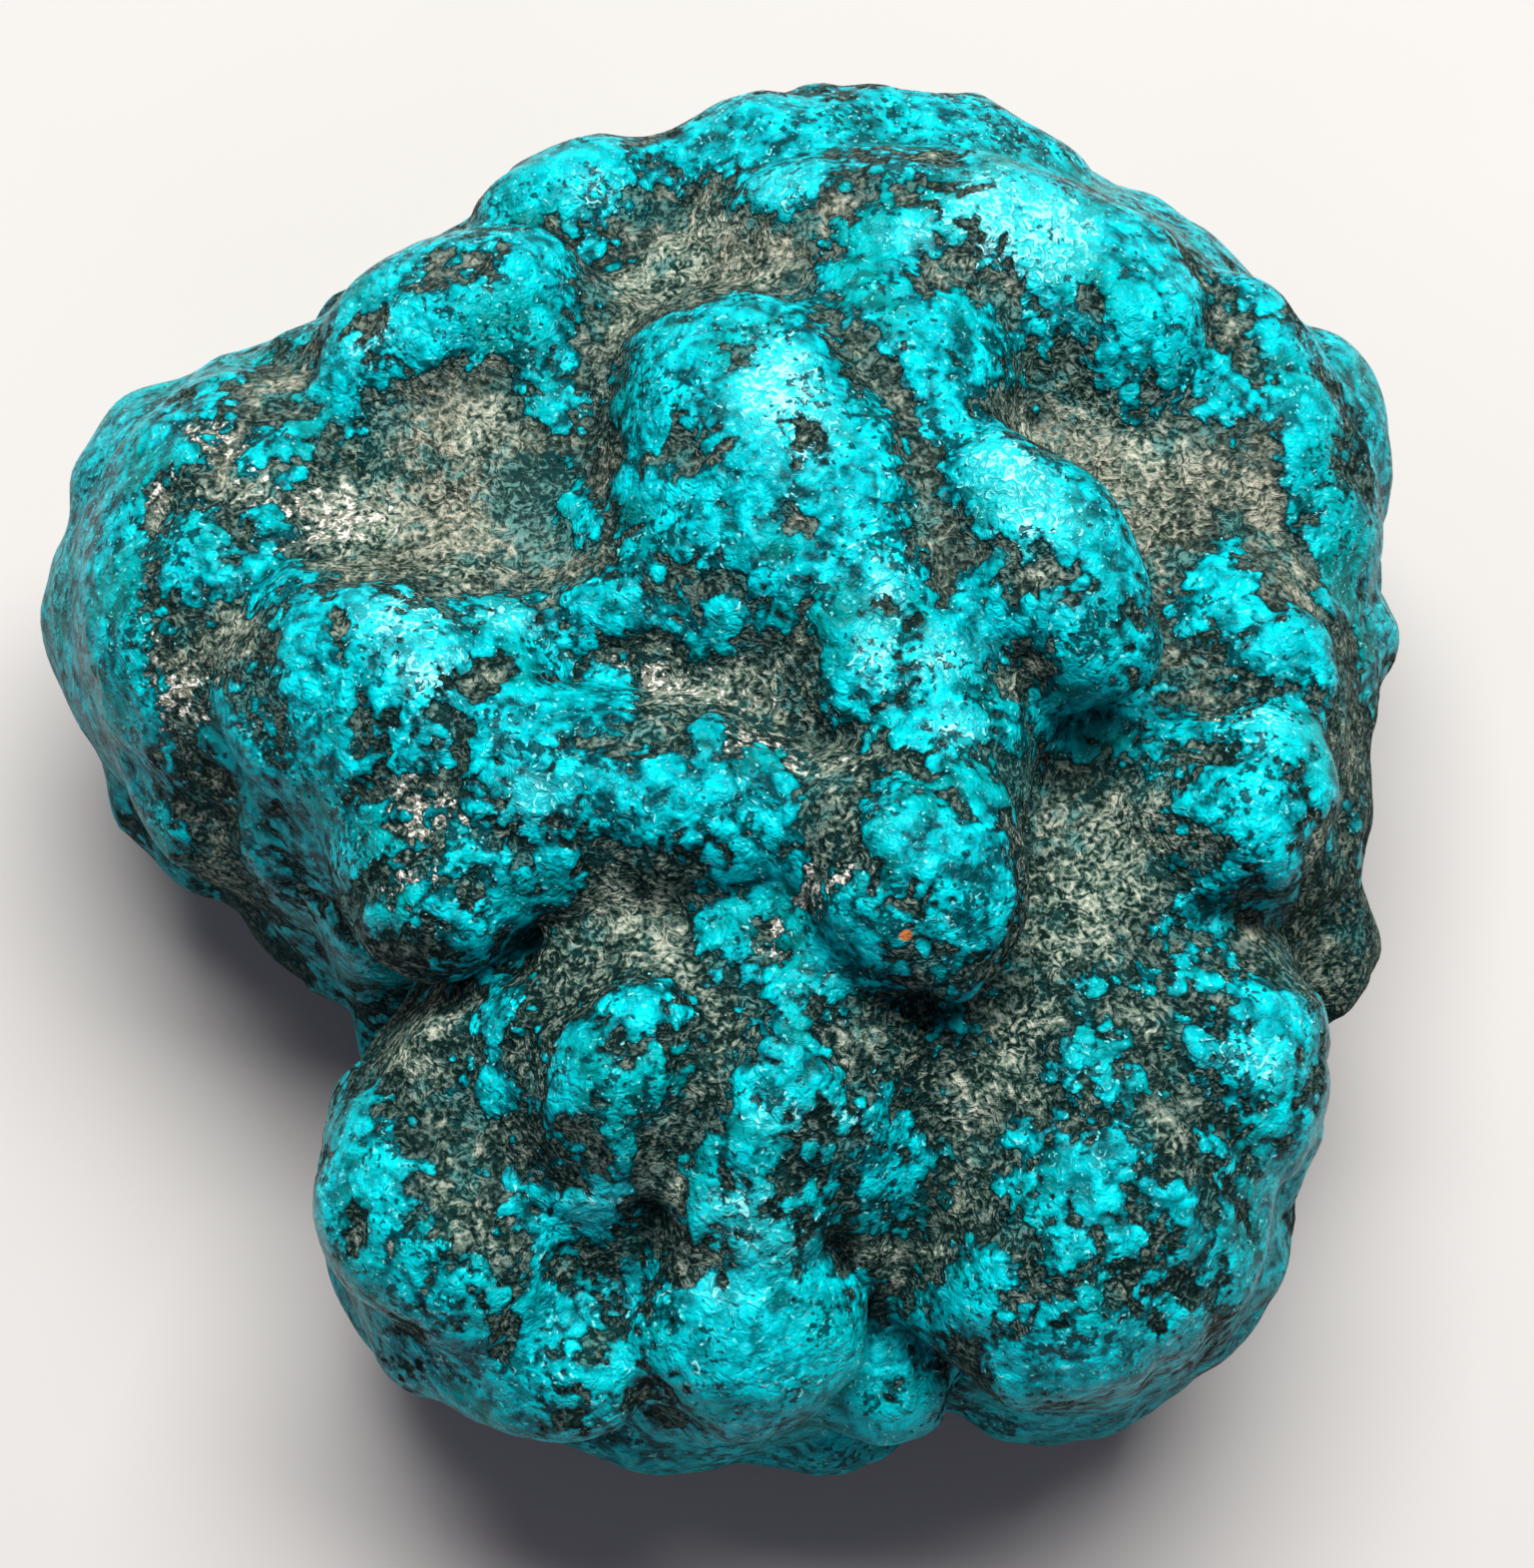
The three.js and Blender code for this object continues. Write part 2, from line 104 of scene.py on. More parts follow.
# Turquoise on the crown: plan x, plan y, length, width, turn in degrees, and how far it stands up.
CROWN_PATCHES = [
    # central dome, and the lower lobes in front of it
    (1.6, 20.6, 6, 4, 0, 0.7), (-3.8, 19, 5, 4, 0, 0.7), (-3.2, 15.2, 8, 7, 90, 0.9),
    (4.5, 17.2, 6, 4, -60, 0.8), (7.2, 12.2, 7.5, 4.6, -62, 0.8), (2, 13.2, 7.5, 5.4, 70, 0.8),
    (7.2, 7.6, 5.5, 5, 90, 0.7), (1.2, 8.6, 6, 5, 90, 0.6), (-4.8, 9, 5, 4.6, 90, 0.7),
    (-2.7, 4.6, 7.4, 5.4, 10, 0.9), (2.6, 4, 4.4, 3.6, 0, 0.6), (5.2, 5.6, 3.6, 4.4, 0, 0.6),
    (-9, 2.1, 2.2, 1.9, 0, 0.5), (-7.4, 1.1, 2.8, 2, 0, 0.4), (-5.4, 1.4, 4.2, 2.2, -10, 0.5),
    (-9.4, 0.4, 1.2, 1.6, 0, 0.3), (-9.6, 9.6, 1.8, 4, 10, 0.2),
    (6.4, 1, 3.4, 5.5, 0, 0.6), (-0.7, 0.6, 3, 2.8, 0, 0.5), (2.4, 1, 3.8, 2.8, 20, 0.4),
    (4.3, 2, 2.8, 1.8, 0, 0.4), (8.4, 3.4, 5.8, 4.8, 90, 0.8), (10.9, 1.2, 2.6, 2.2, 90, 0.5),
    (7.8, -2.9, 6.8, 3.9, 90, 0.9), (13.2, -3, 5.2, 4.6, 60, 0.9), (12.3, -7.4, 6, 4.3, 10, 0.9),
    # oval knob and its foot
    (15.5, 12.4, 3.4, 2.4, 0, 0.5), (17, 7.8, 8, 5.4, 118, 1.1), (21.8, 6.4, 6.4, 5.2, 115, 0.9),
    (22.8, 2.5, 5.4, 4.8, 95, 0.8), (20.2, -0.8, 6.8, 3.8, 0, 0.8), (21.2, -3.8, 4.4, 4.6, 90, 0.9),
    (15.4, 0.8, 3.8, 4.8, 0, 0.8), (16.2, -0.9, 5, 2.6, 0, 0.6), (17, -4, 2, 3.4, 0, 0.5),
    (16.8, -7, 2.2, 1.6, 0, 0.4),
    # back shoulder
    (8, 24.2, 5, 4, 20, 0.8), (12.8, 20.8, 10, 5, -15, 0.9), (13.6, 16, 5.2, 3.6, -70, 0.8),
    (10.5, 27.6, 6, 4, 30, 0.8), (19.3, 28, 8.4, 6.4, -10, 0.9), (25, 28.4, 8, 6, -40, 0.8),
    (25.7, 23.2, 5, 4.2, -60, 0.8), (29, 25, 4.6, 2.6, -65, 0.5), (21, 23, 2.4, 2.2, 0, 0.4),
    (16.5, 31.2, 8, 4, -10, 0.6), (24.5, 19.6, 2.4, 1.6, -40, 0.4), (3.3, 38.8, 13, 7, 0, 0.8),
    (13.6, 40, 12, 6.6, -8, 0.7), (20, 36, 9, 6, -30, 0.7), (12.4, 32.4, 6, 2.6, 0, 0.5),
    (3.8, 32.8, 4.6, 5.2, 90, 1.0),
    (-3.4, 37.4, 4.4, 3.2, 0, 0.6), (9.2, 36.6, 4, 3, 0, 0.5), (15, 29.6, 7, 4.4, 0, 0.8),
    (19, 32.4, 9, 4.4, -15, 0.7), (22.6, 28.6, 8, 6.6, -30, 0.8), (21.6, 25.2, 6, 4, -20, 0.7),
    (22.5, 38.4, 6, 4, -35, 0.6), (31, 31.6, 7.5, 3.2, -42, 0.5),
    # back left shoulder
    (-11, 36, 9.4, 5.4, 20, 0.9), (-14.3, 33, 5, 3.2, 50, 0.6), (-8.6, 31.6, 2, 1.6, 0, 0.4),
    (-13, 25.5, 9.4, 5.2, -75, 0.9), (-11.4, 18.4, 4.6, 2.4, -75, 0.6), (-19, 22.3, 8.4, 5.2, 10, 0.9),
    (-21.5, 26.6, 8, 4, 25, 0.6), (-25, 20.4, 8, 3.6, 80, 0.6), (-18.5, 30.6, 6, 2.4, 20, 0.4),
    (-28.6, 15, 3.4, 2.4, 40, 0.3), (-16.6, 24, 7, 4, -20, 0.7),
    (-22.6, 24.6, 5.5, 4.4, 10, 0.6),
    # left lobe: its rim, the bits inside, and the folds in front
    (-40, 13.6, 12.5, 6, 62, 0.6), (-36, 14.5, 3.6, 2.6, 0, 0.4), (-34.5, 18, 2.4, 2, 0, 0.4),
    (-34.5, 22, 5.4, 2.8, 25, 0.5), (-34.3, 6.8, 4.8, 4, 90, 0.6), (-40.6, 6, 7, 5, 95, 0.5),
    (-30.4, 6.2, 2.6, 2.1, 0, 0.5), (-28.4, 4.3, 4.8, 3.1, -35, 0.7), (-29.5, 9, 1.6, 1.2, 0, 0.3),
    (-39.7, 0, 5, 2.6, 95, 0.5), (-37.2, -1.6, 3.2, 2.2, 0, 0.3), (-31.8, -4, 1.8, 2.3, 0, 0.4),
    (-30.4, -7, 5.8, 3, 100, 0.6), (-32, -6, 1.6, 2, 0, 0.3), (-26, -1.6, 7.4, 3.5, 100, 0.9),
    (-21.8, -1.2, 6.6, 5.4, 90, 0.9), (-23.6, -6.4, 7.2, 5, 110, 0.9), (-25, -9.4, 7.6, 5, 115, 0.8),
    (-18.3, -5, 9.2, 4.2, 85, 0.8), (-14, 0.6, 4.8, 4.8, 0, 0.8), (-22, -13.2, 4.8, 4.6, 90, 0.8),
    (-18.2, -18.8, 8.8, 3.4, -10, 0.9), (-17, -17, 2, 1.5, 0, 0.4), (-15.2, -15, 5, 1.8, 0, 0.3),
    (-38.8, 3.4, 8, 3.6, 90, 0.5), (-38, -5, 6, 3, 100, 0.4),
    # middle band, and the strip in front of it
    (-12.4, -7.2, 6.6, 5.2, 90, 0.9), (-9.8, -6, 2.4, 4.6, 0, 0.5), (-11.8, -1.2, 3, 4.4, 0, 0.4),
    (-9.5, -11.8, 12.4, 4.5, -3, 1.0), (-3, -12, 8, 4.5, 0, 1.0),
    (1, -11.8, 6.2, 4.6, 0, 0.9), (-1.3, -8.6, 1.8, 3.2, 0, 0.5), (2.2, -14.9, 4.6, 3.6, 0, 0.7),
    (0.3, -18.2, 6.2, 3.1, 92, 0.6), (3, -17, 3, 2.6, 0, 0.5), (4.9, -20, 4.8, 2.5, 100, 0.6),
    (-10.5, -16, 2.8, 3.2, 0, 0.4), (-13, -17, 2.4, 3.4, 0, 0.4), (-13.5, -22.2, 3, 2.6, 0, 0.5),
    (-8, -4.6, 4, 5, 0, 0.5),
    # tongue
    (10.1, -14.4, 4, 4.8, 0, 0.8), (13, -17.6, 8.8, 7.2, -55, 1.1), (8, -20.2, 5, 4.2, 0, 0.7),
    (15, -15.2, 2.6, 2.4, 0, 0.5), (14.4, -11.8, 4.6, 3.2, -40, 0.6), (14, -23.8, 2.3, 2, 0, 0.5),
    # right ridge
    (31, 19.8, 6.2, 3.8, -50, 0.8), (28.6, 20.6, 3, 3.4, 0, 0.5), (43.6, 19, 3.6, 5, 0, 0.5),
    (34.5, 27.5, 5, 3, -45, 0.4), (36.2, 23, 4, 3, -60, 0.6),
    (39.5, 24, 4, 4, 0, 0.5), (37.3, 17.8, 5.8, 4.2, -60, 0.9), (37, 14, 2.2, 3.2, 0, 0.5),
    (40, 11, 3.8, 5, 0, 0.7), (42.2, 18, 2.2, 2.2, 0, 0.4), (31.5, 5, 5.5, 3.8, 75, 1.0),
    (29, 3.3, 1.5, 1.5, 0, 0.3), (33, 0.8, 2.4, 1.4, 0, 0.4), (36, 1.3, 5, 5.6, 0, 0.7),
    (39, 8, 3, 6, 0, 0.5), (26, -2, 2.8, 3, 0, 0.5), (24.2, -4.5, 1.9, 1.9, 0, 0.3),
    (28, -4.5, 3, 2, 0, 0.2), (34.6, -5, 5.4, 5.4, 0, 0.9), (37.2, -8, 2.8, 4.2, 0, 0.7),
    (32.2, -10.4, 6.8, 5.2, -20, 1.1), (27.7, -9.5, 1.7, 3.2, 0, 0.4), (33.6, -13.3, 3.6, 2.6, 0, 0.8),
    (29.4, -15.5, 3.4, 2.7, 0, 0.6), (29.2, -17.9, 2.5, 2.3, 0, 0.5), (26, -17.3, 1.7, 1.2, 0, 0.3),
    (28.6, -20.5, 3.6, 1.6, 0, 0.2),
    # front right
    (22.8, -21.8, 2, 1.6, 0, 0.3), (22.3, -25.3, 3.6, 2.4, 0, 0.7), (21, -27, 2.1, 3.1, 0, 0.6),
    (24, -27.3, 3, 2.2, 0, 0.5), (28.6, -25, 2.2, 1.9, 0, 0.5), (32.4, -26, 6.8, 4.6, 0, 0.9),
    (34, -22.6, 6.4, 4.4, 0, 0.9), (37.4, -21, 2.6, 3.2, 0, 0.5), (33, -29, 4.2, 2.3, 0, 0.7),
    (18.6, -31, 3, 1.4, 0, 0.3), (22.8, -31.4, 3, 2.8, 0, 0.7), (21, -33, 4.4, 3.1, 0, 0.8),
    (18, -34.3, 3.4, 2.3, 0, 0.5), (21.6, -34.6, 4.6, 2.5, 0, 0.7), (27, -34.7, 1.9, 2.9, 0, 0.6),
    (27.8, -36.7, 2.7, 2.4, 0, 0.6), (25.5, -35.3, 1.4, 1.3, 0, 0.3), (30.5, -35, 2.7, 2.1, 0, 0.5),
    (23.5, -36.8, 3.3, 3.6, 0, 0.8), (20.8, -37.4, 3.6, 3.2, 0, 0.8), (29.5, -31.4, 1.9, 1.3, 0, 0.3),
    (31.3, -38.2, 3.4, 4.6, 0, 0.8), (21.2, -42, 7.2, 5.6, 0, 0.9), (26.6, -40.6, 5.2, 3.1, 0, 0.8),
    (18.5, -44, 3.6, 2.6, 0, 0.7), (24.5, -43.6, 4.6, 3.2, 0, 0.7), (28, -43, 3, 2.4, 30, 0.5),
    (15, -39.8, 3.8, 4.4, -30, 0.7),
    # front slope
    (4.6, -22.8, 5.6, 2.3, 0, 0.5), (4.3, -25, 2.7, 2.8, 90, 0.6), (3.6, -28, 5, 4, 0, 0.8),
    (1.5, -30.8, 5, 2.7, 0, 0.8), (1.2, -32.6, 2.8, 2.6, 90, 0.6), (0.5, -28.7, 1.6, 1.8, 0, 0.3),
    (8.6, -29, 4, 1.8, 30, 0.5), (9.8, -30.6, 4.4, 2.3, -20, 0.6), (9.4, -32.8, 6, 3.5, 0, 0.8),
    (9.3, -34.4, 2.8, 1.8, 0, 0.4), (12, -31.7, 1.8, 1.1, 0, 0.3), (5.3, -32.7, 1.7, 1.5, 0, 0.3),
    (-5.2, -24.3, 4.8, 3.5, 0, 0.8), (-9, -26, 2.3, 2.9, 0, 0.4), (-6, -28, 5.2, 5.4, 90, 1.0),
    (-9, -29, 3.1, 3.3, 0, 0.7), (-6.4, -31.3, 1.5, 3.5, 0, 0.4), (-13.6, -27.2, 3.8, 2.9, 0, 0.5),
    (-14, -23.6, 3.1, 3.5, 90, 0.5), (-12, -33, 3.4, 2, 0, 0.3), (-8.5, -34.2, 4.6, 2.3, 0, 0.7),
    (-11, -35.2, 4, 2.5, 0, 0.7), (-7.4, -35.6, 2.4, 1.8, 0, 0.4), (-5.7, -37, 1.5, 1.1, 0, 0.2),
    (-1.3, -34, 1.9, 5.2, 0, 0.5), (1.2, -34.9, 3.5, 2.1, 0, 0.6), (2.4, -36.9, 3.6, 3.1, 0, 0.7),
    (5, -36.9, 2.1, 2.9, 0, 0.5), (5, -35.4, 1.7, 1.2, 0, 0.3),
    # front rim
    (0.8, -42.2, 10.8, 8.2, 0, 1.0), (-3.4, -39, 2.4, 2.4, 0, 0.4), (3.6, -39, 5.8, 2.9, 0, 0.7),
    (-5, -41, 4, 2.9, 0, 0.6), (-12, -39, 2.9, 2.9, 90, 0.5), (-12.6, -41, 4, 3.1, 0, 0.6),
    (-9.2, -40, 2.9, 2.5, 0, 0.4), (-7.4, -43, 4.2, 2.5, 0, 0.7), (-11.4, -43.4, 3.1, 2.3, 0, 0.6),
    (-22.8, -34.6, 12, 6.6, 75, 0.9), (-19, -37.6, 3.8, 3.5, 0, 0.7), (-19.8, -40.4, 5.2, 4.8, -40, 0.8),
    (-16.5, -39, 3.1, 2.7, 0, 0.6), (-14.8, -42, 6.6, 4.6, -10, 0.8), (-22.3, -27.6, 2.5, 3.1, 0, 0.6),
    (-24, -28, 2.1, 3.5, 0, 0.5), (9.8, -40.2, 2.9, 2.1, 0, 0.5), (8.2, -42.4, 2.9, 3.6, 0, 0.7),
    (11, -44.4, 4.2, 4, 0, 0.8), (6, -46.4, 4.8, 4.6, 0, 0.9), (15, -39.4, 5, 4.2, 0, 0.8),
]

# Windows of bare matrix inside the turquoise: plan x, plan y, length, width and turn.
CROWN_WINDOWS = [
    (-33.4, -8, 4.4, 7, 20), (-31, -13.4, 5, 9, 35), (-25, -21.5, 15, 5, 10), (14.6, -44.6, 3, 4.6, 0),
    (9.8, -36.8, 3.6, 2.8, 0), (12.4, -36.2, 3, 2.2, 0), (24.8, 7.8, 10, 1.8, -60),
    (-2.4, 10.4, 3, 2.4, 0), (4.6, 10.6, 1.6, 2.2, 0), (13, 34.6, 4, 2.6, 0), (13.3, 24, 2.3, 1.8, 0),
    (13, 30.3, 3, 1, 0), (16.3, 26.8, 1.5, 1.2, 0), (17.6, 23.1, 1.8, 2.2, 0), (22.9, 23.2, 1.3, 1.8, 0),
    (-23, 22.6, 1.7, 1.5, 0), (-17.6, 25.9, 3.8, 1.5, 10), (19, 1.6, 3.6, 2, 0), (18, -3.5, 2.7, 2.2, 0),
    (-22.3, -6.6, 1.2, 2.4, 0), (-20, -6.8, 1, 2.2, 0), (-17, -6.5, 1.5, 1.7, 0),
    (-15.1, -3.7, 2.6, 2.3, 0), (-23.6, -0.6, 1.1, 2.6, 15), (-18, 1.3, 3.4, 1.3, 0),
    (10.3, -18.9, 2, 0.9, -10), (-22.4, -35.5, 1, 1.4, 0), (-19, -40.4, 1.2, 1, 0),
    (-14, -41.4, 0.8, 1.8, 0), (-8, -41.5, 2.3, 1.5, 0), (-4.7, -26.5, 2, 1, -10),
    (22.4, -39.4, 3.8, 1.4, 0), (26.5, -38.8, 4.4, 1.5, 0), (28.5, -17, 1.3, 1.1, 0),
    (3.8, 4.9, 1, 1.8, 20), (-1, 2.2, 3.6, 1, -20), (-13.6, -13.6, 4, 0.8, 0),
]

# Chalky white calcite in the matrix, green stains in it, and more polished tops of turquoise,
# which are also painted paler as highlights, each as plan x, plan y, length, width and turn.
CALCITE_SPOTS = [
    (-33.5, 15.6, 2.8, 2.2, 0), (-31.2, 13.8, 2.6, 2.5, 0), (-36.8, 11.6, 1.6, 1.3, 0),
    (-29, 11, 2.2, 1.8, 0), (-25, 9.8, 4.8, 3.6, 0), (-29.6, 7.3, 1.4, 1.2, 0), (-34, 8, 1.5, 1.2, 0),
    (-37.3, 1.3, 2.2, 1.3, -35), (-34.7, -1.5, 4.2, 2.6, -10), (-18, -12.3, 4.4, 3.2, -15),
    (5.5, -18, 3.4, 1.6, -50), (4.4, -16.6, 3.2, 1.2, -50), (3, -19, 1.8, 2.6, 0),
    (30.5, -4.6, 1.5, 1.9, 0), (-19.3, -16.6, 1.6, 1.2, 0), (8, -18.2, 1.8, 1.2, 0),
    (-3, -3.4, 5, 1.6, -15), (2.4, -9, 4, 1.4, -20),
]
GREEN_STAINS = [
    (16.5, -10, 5, 4.4, 0), (-37, -1.6, 4, 3, 0), (-22.5, 14, 7.5, 3, -60), (-15, -15, 6.5, 3, 0),
    (28.4, -4.4, 4.4, 3, 0), (28.4, 2.2, 3, 2.2, 0), (-0.6, -6.8, 5, 1.8, -15), (-8.2, -2.6, 4, 2, 0),
    (-6.6, -3.6, 5, 2.6, -10), (-5.4, -7.4, 6, 3, 0), (-10.4, 10, 3, 9, 5),
    (-19, -34.8, 3, 3, 0), (-13, -17, 4, 3.4, 0), (26, 2, 3, 5, 0), (4.4, -13.4, 3, 2, 0),
    (-12.6, 10.5, 7, 9, 0), (-22, 16.5, 5, 4, 0), (-9, 3, 8, 2.6, -8), (17.5, -8, 5, 8, 0),
]
POLISHED_TOPS_WITH_HIGHLIGHTS = [
    (3.4, 13.6, 8, 5, 110), (18.4, 5.2, 4, 2.4, 0), (17.3, 8.6, 4.4, 3.2, 120), (13, -3.2, 2.6, 1.8, 0),
    (33, -4.5, 2.4, 2.4, 0), (-0.5, -39, 2.6, 1.4, -15), (2, -36.6, 2.2, 1, 0), (1, -34.6, 2, 1, 0),
    (4.8, -30.5, 3.4, 1.4, 0), (11.4, 27.4, 2, 1.6, 0), (18.6, 28.4, 9, 6.4, -15), (3.6, 31.8, 2, 1.4, 0),
    (-8.8, 34.6, 2, 1.4, 0), (-11.5, -11.6, 2.4, 1.4, -10), (-14, 1, 2, 3, 80), (-18, -3.6, 3, 2.4, 0),
    (-20, 0, 4, 3, 0), (9.4, 1, 2.2, 3.4, 0), (8.6, -3, 1.8, 3, 0), (13.4, -8, 2, 1.4, 0),
    (-22.6, 21.8, 3, 2, 0), (32.4, -25.6, 2.4, 1.6, 0), (-7.6, -34, 1.8, 1.2, 0),
]

# Half thickness of a boss, as a share of its width.
BOSS_THICKNESS = 0.42

# The walk from outside onto the body: how far over the pebble it starts, the share of each
# distance that it dares to go, the most steps that it takes, and how near is near enough.
WALK_START, WALK_SHARE, WALK_STEPS, WALK_END = 9, 0.85, 70, 0.004

# Squares along each edge of the ray grid, how far its rays are drawn up towards the crown, and
# how far the patches' outlines wander.
GRID_SQUARES = 128
CROWN_DRAW = 0.25
WANDER = 0.7

# On the finished mesh, in metres: where one small grain of rust sits on the tongue, the distances
# at which it ends and begins to fade, and how ragged it is. Then how far the nodules are bent, and
# how deep the fine relief of the material goes.
RUST_GRAIN = (0.0116, -0.0217, 0.0494)
RUST_END, RUST_FADE, RUST_FRAY = 0.00048, 0.00028, 0.0006
NODULE_BEND = 0.0013
FINE_RELIEF = 0.0004


def outline_radius(angle):
    """Plan radius of the widest outline: a cubic curve through OUTLINE, one value per 15 degrees."""
    values = np.array(OUTLINE, float)
    place = (angle / (2 * np.pi) * len(values)) % len(values)
    step = np.floor(place).astype(int)
    part = place - step
    a, b, c, d = (values[(step + k) % len(values)] for k in (-1, 0, 1, 2))
    bend = 2 * a - 5 * b + 4 * c - d + part * (3 * (b - c) + d - a)
    return b + 0.5 * part * (c - a + part * bend)


def pebble_radius(ray):
    """Distance from the centre to the undented pebble: a superellipsoid over the outline.

    With f the fullness, it is ((flat / side) ^ f + (height / tall) ^ f) ^ (-1 / f), where side is
    the outline's radius and tall is the crown's rise or the underside's depth.
    """
    flat = np.hypot(ray[..., 0], ray[..., 1])
    side = outline_radius(np.arctan2(ray[..., 1], ray[..., 0]))
    tall = np.where(ray[..., 2] > 0, CROWN_RISE, UNDERSIDE_DEPTH)
    return ((flat / side) ** FULLNESS + (np.abs(ray[..., 2]) / tall) ** FULLNESS) ** (-1 / FULLNESS)


def pebble_point(ray):
    """Point of the undented pebble along a unit ray from the centre."""
    return CENTRE + ray * pebble_radius(ray)[..., None]


def unit(vector):
    """The same direction with length one."""
    return vector / np.linalg.norm(vector, axis=-1, keepdims=True)


def pebble_normal(point):
    """Outward normal of the pebble: the cross product of two short chords."""
    out = unit(point - CENTRE)
    across = unit(np.cross([0.3, 0.2, 1.0], out))
    along = np.cross(out, across)
    chords = [pebble_point(unit(out + way * 0.02)) - pebble_point(unit(out - way * 0.02))
              for way in (across, along)]
    normal = unit(np.cross(*chords))
    return normal if normal @ out > 0 else -normal


def crown_point(x, y):
    """Point on top of the pebble over a place in plan.

    It stands (1 - reach ^ fullness) ^ (1 / fullness) of the crown's rise over the waist, with
    reach the share of the outline's radius at which the place lies.
    """
    reach = np.hypot(x, y) / outline_radius(np.arctan2(y, x))
    return np.array([x, y, WAIST_HEIGHT + CROWN_RISE * (1 - reach ** FULLNESS) ** (1 / FULLNESS)])


def flank_point(bearing, height):
    """Point on the pebble's side at a bearing and a height.

    Its radius is (1 - climb ^ fullness) ^ (1 / fullness) of the outline's, with climb the share
    of the crown's rise or of the underside's depth at which the height lies.
    """
    angle = np.radians(bearing)
    climb = abs(height - WAIST_HEIGHT) / (CROWN_RISE if height > WAIST_HEIGHT else UNDERSIDE_DEPTH)
    radius = outline_radius(angle) * (1 - climb ** FULLNESS) ** (1 / FULLNESS)
    return np.array([radius * np.cos(angle), radius * np.sin(angle), height])


def boss_ellipsoid(point, reference, length, width, turn, rise, fillet):
    """A boss as an ellipsoid: its middle, three axes divided by its half sizes, and its fillet.

    It lies along the pebble's surface at the point, and its top stands the rise over it.
    """
    thickness = BOSS_THICKNESS * width
    normal = pebble_normal(point)
    east = unit(np.cross(reference, normal))
    north = np.cross(normal, east)
    along = east * np.cos(np.radians(turn)) + north * np.sin(np.radians(turn))
    across = np.cross(normal, along)
    axes = np.stack([along / (length / 2), across / (width / 2), normal / thickness])
    return point + normal * (rise - thickness), axes, fillet


def distance_to_line(plan, line):
    """Distance in plan from each point to the nearest stretch of a line of points."""
    nearest = np.full(plan.shape[:-1], np.inf)
    for start, end in zip(np.array(line[:-1], float), np.array(line[1:], float)):
        way = end - start
        along = np.clip((plan - start) @ way / (way @ way), 0, 1)
        nearest = np.minimum(nearest, np.linalg.norm(plan - start - along[..., None] * way, axis=-1))
    return nearest


def valley_depth(ray):
    """Depth of the valleys along each ray: round-bottomed troughs that fade out under the waist.

    A valley is its depth times exp(-(distance / half width) ^ 2). Where two meet, the deeper one
    holds and a quarter of the other is added. They are whole down to where a ray climbs by 0.10,
    and nothing from where it falls by 0.25.
    """
    plan = pebble_point(ray)[..., :2]
    dip = np.zeros(len(ray))
    for depth, half_width, line in VALLEYS:
        here = depth * np.exp(-(distance_to_line(plan, line) / half_width) ** 2)
        dip = np.maximum(dip, here) + 0.25 * np.minimum(dip, here)
    return dip * np.clip((ray[:, 2] + 0.25) / 0.35, 0, 1)


def nugget_distance(point, dented_radius, bosses):
    """Distance to the nugget: the pebble and each ellipsoid, joined with round fillets.

    An ellipsoid's distance is s * (s - 1) over the length of its gradient, with s the scaled
    distance from its middle. A join is the smaller of two distances, less a quarter of the
    fillet times the squared share by which they differ by less than the fillet.
    """
    distance = (np.linalg.norm(point - CENTRE, axis=1) - dented_radius) * WALK_SHARE
    for middle, axes, fillet in bosses:
        scaled = (point - middle) @ axes.T
        size = np.linalg.norm(scaled, axis=1)
        other = size * (size - 1) / (np.linalg.norm(scaled @ axes, axis=1) + 1e-9)
        blend = np.maximum(fillet - np.abs(distance - other), 0) / fillet
        distance = np.minimum(distance, other) - blend ** 2 * fillet * 0.25
    return distance


def body_points(ray):
    """Each ray's meeting point with the nugget, found by walking in from outside."""
    bosses = [boss_ellipsoid(crown_point(x, y), [0, 1, 0], *shape)
              for x, y, *shape in CROWN_BOSSES]
    bosses += [boss_ellipsoid(flank_point(bearing, height), [0, 0, 1], *shape)
               for bearing, height, *shape in FLANK_BOSSES]
    dented_radius = pebble_radius(ray) - valley_depth(ray)
    reach = dented_radius + WALK_START
    walking = np.arange(len(ray))
    for _ in range(WALK_STEPS):
        point = CENTRE + ray[walking] * reach[walking, None]
        distance = nugget_distance(point, dented_radius[walking], bosses)
        reach[walking] -= distance * WALK_SHARE
        walking = walking[np.abs(distance) > WALK_END]
        if len(walking) == 0:
            break
    return CENTRE + ray * reach[:, None]


def cube_sphere(count):
    """Rays and quads of a cube blown up to a sphere, count squares along each edge.

    The squares are even in angle, and all rays are drawn up a little towards +Z so that the
    grid is closer on top than underneath.
    """
    tangent = np.tan((np.arange(count + 1) / count * 2 - 1) * np.pi / 4)
    a, b = np.meshgrid(tangent, tangent, indexing="ij")
    one = np.ones_like(a)
    sides = [(a, b, one), (b, a, -one), (one, a, b), (-one, b, a), (b, one, a), (a, -one, b)]
    place = np.arange((count + 1) ** 2).reshape(count + 1, count + 1)
    points = np.concatenate([np.stack(side, -1).reshape(-1, 3) for side in sides])
    quads = np.concatenate([
        np.stack([q[:-1, :-1], q[1:, :-1], q[1:, 1:], q[:-1, 1:]], -1).reshape(-1, 4)
        for q in (place + k * place.size for k in range(6))])
    _, first, merged = np.unique(np.round(points * 1e5).astype(int), axis=0,
                                 return_index=True, return_inverse=True)
    ray = unit(points[first])
    polar = np.arccos(np.clip(ray[:, 2], -1, 1))
    drawn = polar - CROWN_DRAW * np.sin(polar)
    flat = unit(ray[:, :2] + [1e-12, 0]) * np.sin(drawn)[:, None]
    return np.column_stack([flat, np.cos(drawn)]), merged.reshape(-1)[quads]


